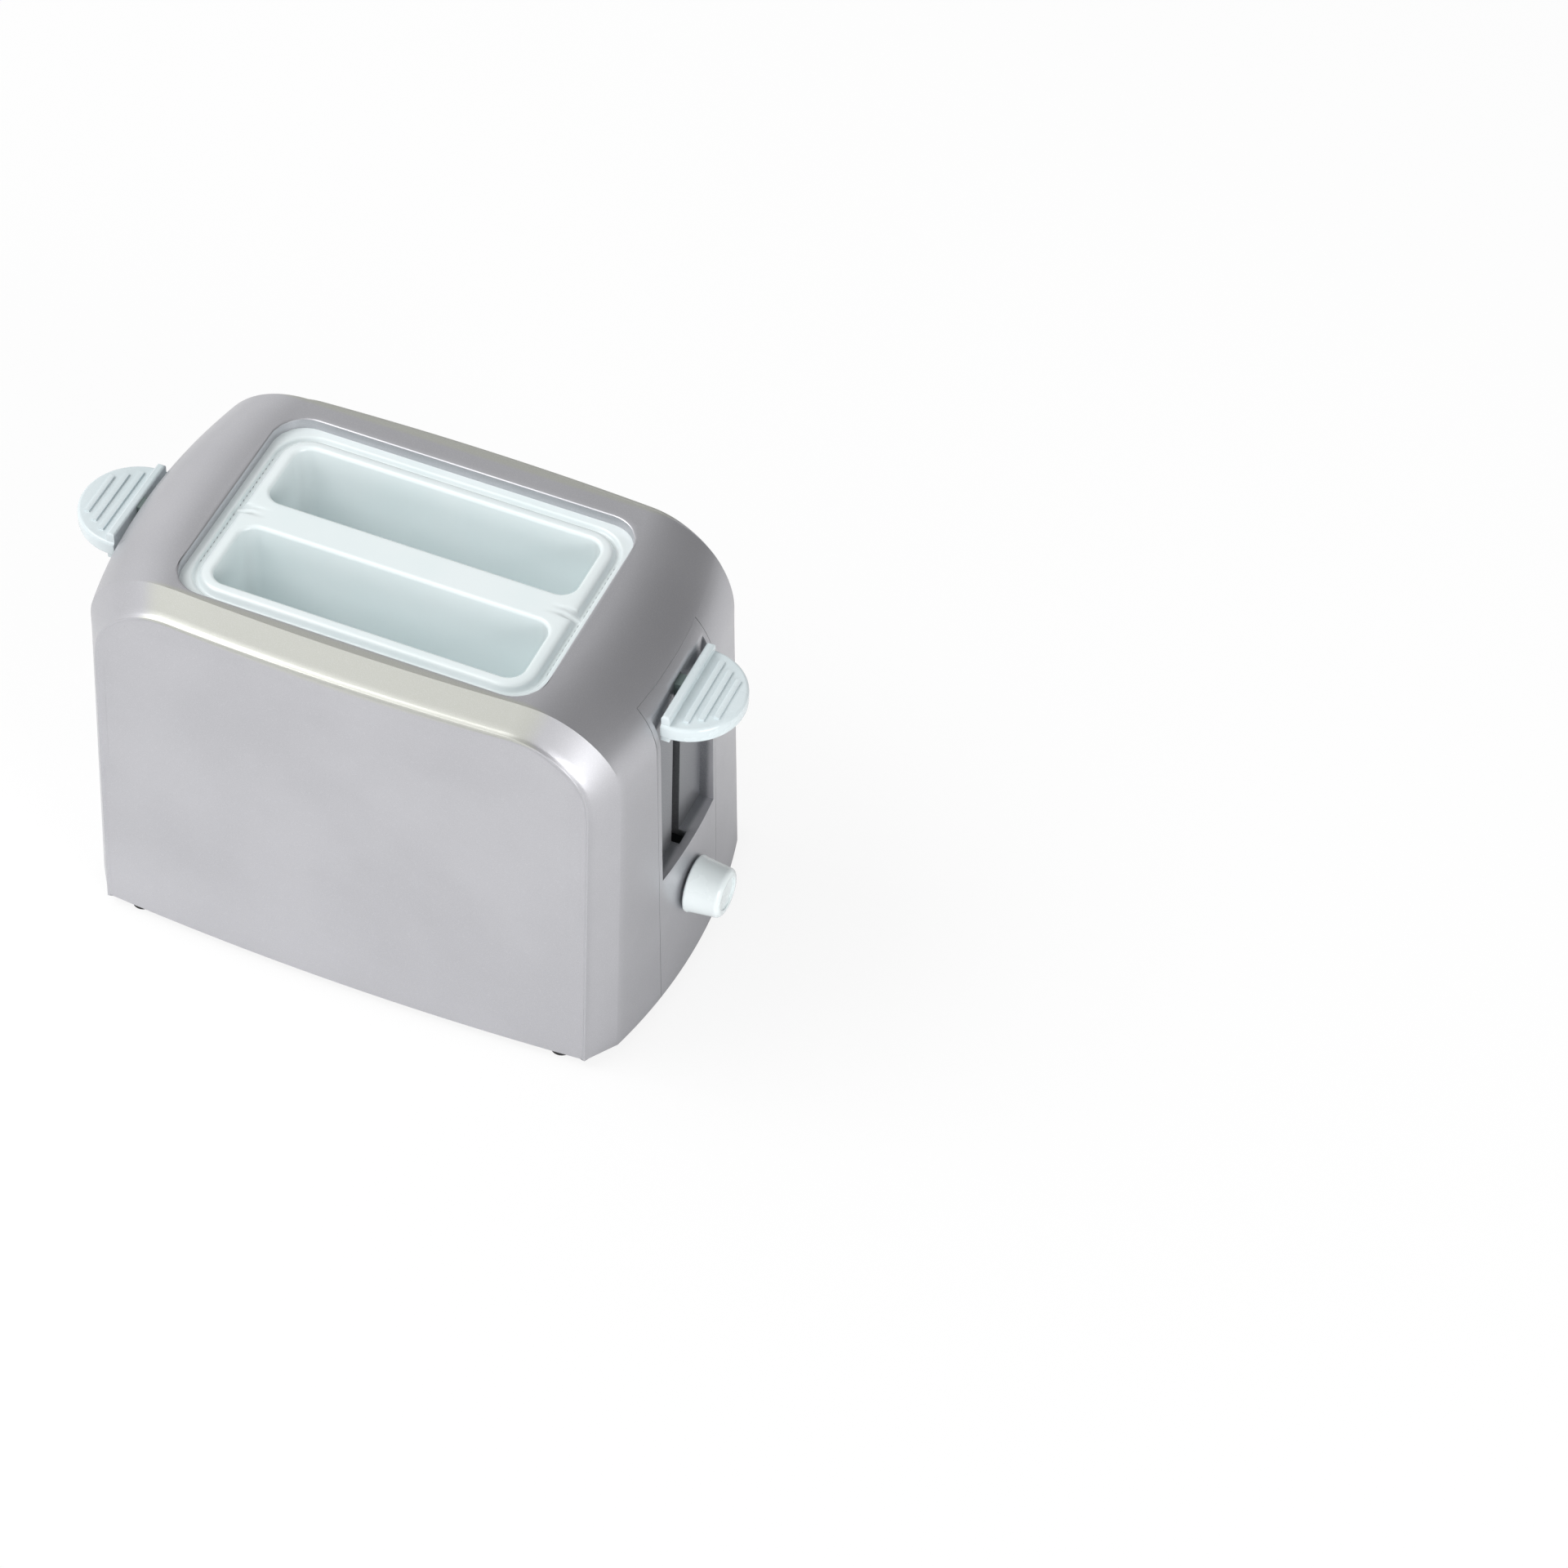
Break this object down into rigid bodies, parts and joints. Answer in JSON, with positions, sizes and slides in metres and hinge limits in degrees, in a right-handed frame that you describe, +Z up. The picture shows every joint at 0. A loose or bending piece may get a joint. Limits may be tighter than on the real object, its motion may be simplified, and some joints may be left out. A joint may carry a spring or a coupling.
{
  "type": "toy toaster",
  "caption": "Toy pop-up toaster with two bread slots, a spring-loaded carriage pushed down by end tabs, and a timer knob that latches it",
  "frame": {"origin": "bottom centre, midway between the feet, on the surface that the toy stands on", "axes": "+X along the length towards the end with the knob, front face towards -Y, +Z up"},
  "size_m": [0.187, 0.101, 0.1195],
  "materials": {
    "shell_grey": "silver-grey moulded plastic with a satin metallic coat",
    "mint_plastic": "pale mint glossy plastic",
    "mint_trim": "pale mint glossy plastic",
    "works_plastic": "dark grey matte plastic",
    "dark_plastic": "near-black matte plastic",
    "foot_rubber": "dark soft pad",
    "rod_steel": "drawn steel rod",
    "spring_steel": "drawn steel wire",
    "screw_steel": "zinc-plated steel"
  },
  "bodies": {
    "housing": {"housing_shell": "shell_grey", "end_panel_right": "shell_grey", "end_panel_left": "shell_grey", "slot_insert": "mint_plastic", "base_plate": "dark_plastic", "foot_front_left": "foot_rubber", "foot_front_right": "foot_rubber", "foot_back_left": "foot_rubber", "foot_back_right": "foot_rubber", "base_screws": "screw_steel", "guide_rod_right": "rod_steel", "guide_rod_left": "rod_steel", "lift_spring_right": "spring_steel", "lift_spring_left": "spring_steel", "knob_bushing": "dark_plastic"},
    "carriage": {"bread_shelf_front": "works_plastic", "bread_shelf_back": "works_plastic", "carriage_yoke_right": "works_plastic", "carriage_yoke_left": "works_plastic", "carriage_bushings_right": "dark_plastic", "carriage_bushings_left": "dark_plastic", "push_tab_right": "mint_trim", "push_tab_left": "mint_trim", "tab_screw_right": "screw_steel", "tab_screw_left": "screw_steel", "latch_catch": "dark_plastic", "catch_screws": "screw_steel"},
    "timer": {"timer_knob": "mint_trim", "knob_cap": "mint_trim", "knob_screw": "screw_steel", "knob_shaft": "rod_steel", "latch_cam": "dark_plastic"}
  },
  "joints": [
    {"name": "lift", "type": "slide", "parent": "housing", "child": "carriage", "axis": [0, 0, 1], "range_m": [-0.042, 0], "stiffness_N_per_m": 40, "springref_m": 0.05, "deforming": ["lift_spring_right", "lift_spring_left"]},
    {"name": "timer", "type": "hinge", "parent": "housing", "child": "timer", "pos_m": [0.0854, -0.0024, 0.0312], "axis": [-1, 0, 0], "range_deg": [0, 180]}
  ]
}
